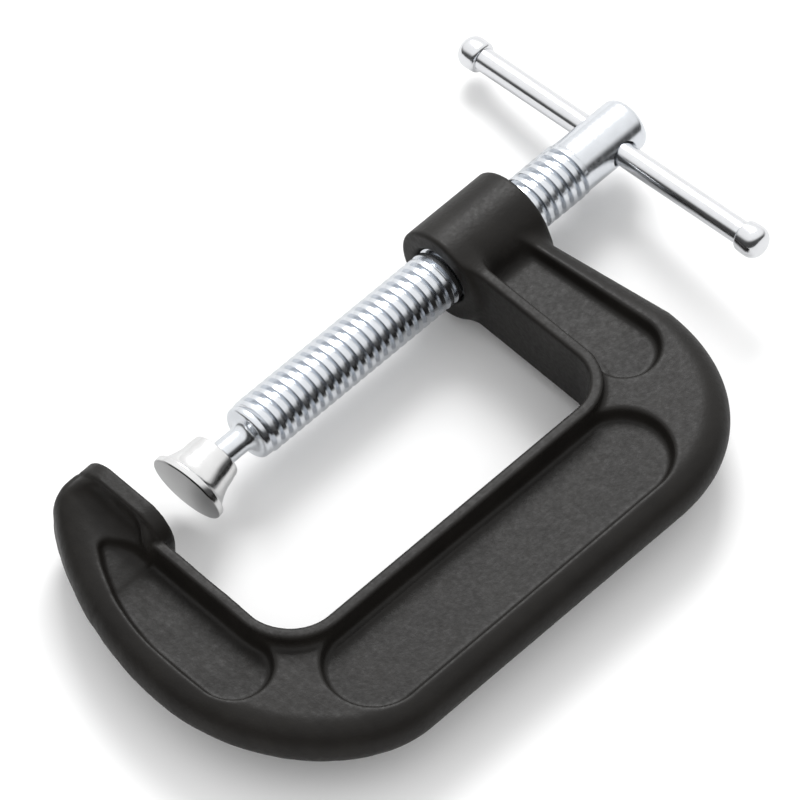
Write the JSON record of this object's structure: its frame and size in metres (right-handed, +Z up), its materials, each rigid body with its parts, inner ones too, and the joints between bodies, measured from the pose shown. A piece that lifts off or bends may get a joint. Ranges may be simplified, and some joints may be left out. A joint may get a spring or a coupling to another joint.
{
  "type": "screw g-clamp",
  "caption": "Cast G-clamp of 75 mm capacity with a rolled steel screw, a sliding tommy bar and a swivel pad on a ball end.",
  "frame": {"origin": "where the screw axis meets the working face of the anvil", "axes": "+X along the screw towards its head, -Y towards the spine, +Z up out of the flat of the clamp as it lies on its side"},
  "size_m": [0.1868, 0.1292, 0.0278],
  "materials": {
    "frame_coating": "black powder coat on rough cast iron, satin",
    "screw_plating": "bright zinc plating on rolled thread",
    "ring_steel": "plain spring steel",
    "pad_plating": "bright zinc plating on turned steel",
    "bar_plating": "bright zinc plating on drawn bar"
  },
  "bodies": {
    "frame": {"frame": "frame_coating"},
    "pad_carrier": {"retaining_ring": "ring_steel"},
    "screw": {"spindle": "screw_plating"},
    "pad": {"swivel_pad": "pad_plating"},
    "bar": {"tommy_bar": "bar_plating", "bar_knob_spine_side": "bar_plating", "bar_knob_free_side": "bar_plating"}
  },
  "joints": [
    {"name": "screw_travel", "type": "slide", "parent": "frame", "child": "pad_carrier", "axis": [1, 0, 0], "range_m": [-0.0127, 0.0604]},
    {"name": "screw_turn", "type": "hinge", "parent": "pad_carrier", "child": "screw", "pos_m": [0.0211, 0, 0], "axis": [1, 0, 0], "continuous": true},
    {"name": "pad_tilt", "type": "hinge", "parent": "pad_carrier", "child": "pad", "pos_m": [0.0211, 0, 0], "axis": [0, -0.9205, 0.3907], "range_deg": [-24, 0]},
    {"name": "bar_slide", "type": "slide", "parent": "screw", "child": "bar", "axis": [0, -0.99, 0.1409], "range_m": [-0.0373, 0.0323]}
  ],
  "couplings": [
    {"joint": "screw_turn", "follows": "screw_travel", "rad_per_m": 2513.3}
  ]
}
